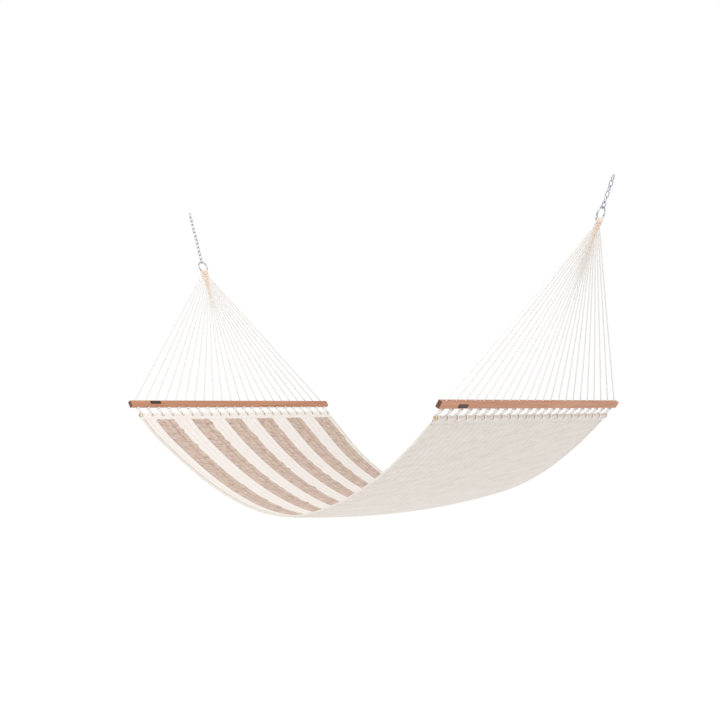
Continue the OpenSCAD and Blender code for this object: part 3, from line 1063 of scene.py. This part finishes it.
for end, at in ends.items():
    rows, j = [], 0 if at["side"] < 0 else 1
    for inset in (hem["flat"] - stitch["inFromHem"], stitch["hemRow"]):
        for face in (1, -1):
            px, pz, nx, nz = bedLine(2, inset)[:4]
            lift = face * (hem["ply"] + hem["thick"] / 2 + 0.2 * mm)
            a = Vector((px[j] + nx[j] * lift, -bedWide / 2 + 6 * mm, pz[j] + nz[j] * lift))
            b = Vector((a.x, bedWide / 2 - 6 * mm, a.z))
            rows.append([a.lerp(b, i / 60) for i in range(61)])
    hemStitches = grow(end + "_hem_stitches", rows, lockStitches, shortStitch)
    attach(hemStitches, end + "_sling")
print("stitches are in")

# ---- badges: a small plate with a rolled rim, pinned to each bar ----
badge = {
    "length": 64 * mm, "height": 17 * mm, "thick": 1.2 * mm, "corner": 3 * mm, "rim": 1.6 * mm,
    "pin": 1.3 * mm, "pinIn": 5.5 * mm,
}


def badgePlate(name, at, node):
    work = bmesh.new()
    half, tall, r, thick = badge["length"] / 2, badge["height"] / 2, badge["corner"], badge["thick"]
    rim = []
    for cx, cy, first in ((1, 1, 0), (-1, 1, 90), (-1, -1, 180), (1, -1, 270)):
        for i in range(7):
            a = math.radians(first + 15 * i)
            rim.append((cx * (half - r) + r * math.cos(a), cy * (tall - r) + r * math.sin(a)))
    levels = [
        (0, -thick / 2), (0, thick * 0.2), (0.35 * mm, thick / 2), (badge["rim"], thick / 2),
        (badge["rim"] + 0.3 * mm, thick * 0.2),
    ]
    rings = [
        [work.verts.new((x * (1 - inset / half), y * (1 - inset / tall), level)) for x, y in rim]
        for inset, level in levels
    ]
    for lower, upper in zip(rings[:-1], rings[1:]):
        for i in range(len(rim)):
            j = (i + 1) % len(rim)
            work.faces.new((lower[i], lower[j], upper[j], upper[i]))
    work.faces.new(rings[0][::-1])
    work.faces.new(rings[-1])
    for x in (-1, 1):
        pinAt = Matrix.Translation((x * (half - badge["pinIn"]), 0, thick * 0.2))
        place = pinAt @ Matrix.Diagonal((1, 1, 0.55, 1))
        bmesh.ops.create_uvsphere(work, u_segments=16, v_segments=8, radius=badge["pin"], matrix=place)
    turn = Matrix((alongBars, at["holeUp"], at["across"])).transposed().to_4x4()
    bmesh.ops.transform(work, matrix=Matrix.Translation(centreOf(node)) @ turn, verts=work.verts)
    bmesh.ops.recalc_face_normals(work, faces=work.faces)
    mesh = bpy.data.meshes.new(name)
    work.to_mesh(mesh)
    work.free()
    mesh.materials.append(finishes["badge"])
    return newObject(name, mesh)


for end, at in ends.items():
    plate = badgePlate(end + "_badge_plate", at, end + "_badge")
    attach(plate, end + "_bar")
    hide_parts(end + "_badge")
print("badges are pinned")

# ---- floor and light: white studio, high key ----
studio = {
    "floorDrop": 3.2, "floorSize": 60, "floorGlow": 0.62, "sky": 0.72, "key": 105, "fill": 8, "lamp": 3.0,
    "aimDrop": 0.3,
}
floorAt = middle - Vector((0, 0, studio["floorDrop"]))
half = studio["floorSize"] / 2
corners = ((-1, -1), (1, -1), (1, 1), (-1, 1))
floor = newMesh("floor", [floorAt + Vector((x * half, y * half, 0)) for x, y in corners], [(0, 1, 2, 3)])
pale = newMaterial(
    "paleStudioFloor", Roughness=0.95, Emission_Strength=studio["floorGlow"], Base_Color=colour("#BDBDBD"),
    Emission_Color=colour("#FFFFFF"),
)[0]
floor.data.materials.append(pale)

world = bpy.data.worlds.new("studio")
bpy.context.scene.world = world
world.use_nodes = True
sky = world.node_tree
sky.nodes.clear()
rays = addNode(sky, "ShaderNodeLightPath").outputs["Is Camera Ray"]
lit, seen = [
    addNode(sky, "ShaderNodeBackground", {"Color": colour("#FFFFFF"), "Strength": strength}).outputs[0]
    for strength in (studio["sky"], 1.0)
]
both = addNode(sky, "ShaderNodeMixShader", links={0: rays, 1: lit, 2: seen}).outputs[0]
addNode(sky, "ShaderNodeOutputWorld", links={"Surface": both})


def softLight(name, place, power):
    lamp = bpy.data.lights.new(name, "AREA")
    lamp.energy, lamp.size = power, studio["lamp"]
    made = newObject(name, lamp)
    made.location = middle + Vector(place)
    aim = middle - Vector((0, 0, studio["aimDrop"])) - made.location
    made.rotation_euler = aim.to_track_quat("-Z", "Y").to_euler()


softLight("key", (2.2, -2.6, 3.6), studio["key"])
softLight("fill", (-3.2, -2.5, 1.2), studio["fill"])
bpy.context.scene.view_settings.view_transform = "Standard"
print("studio is lit")
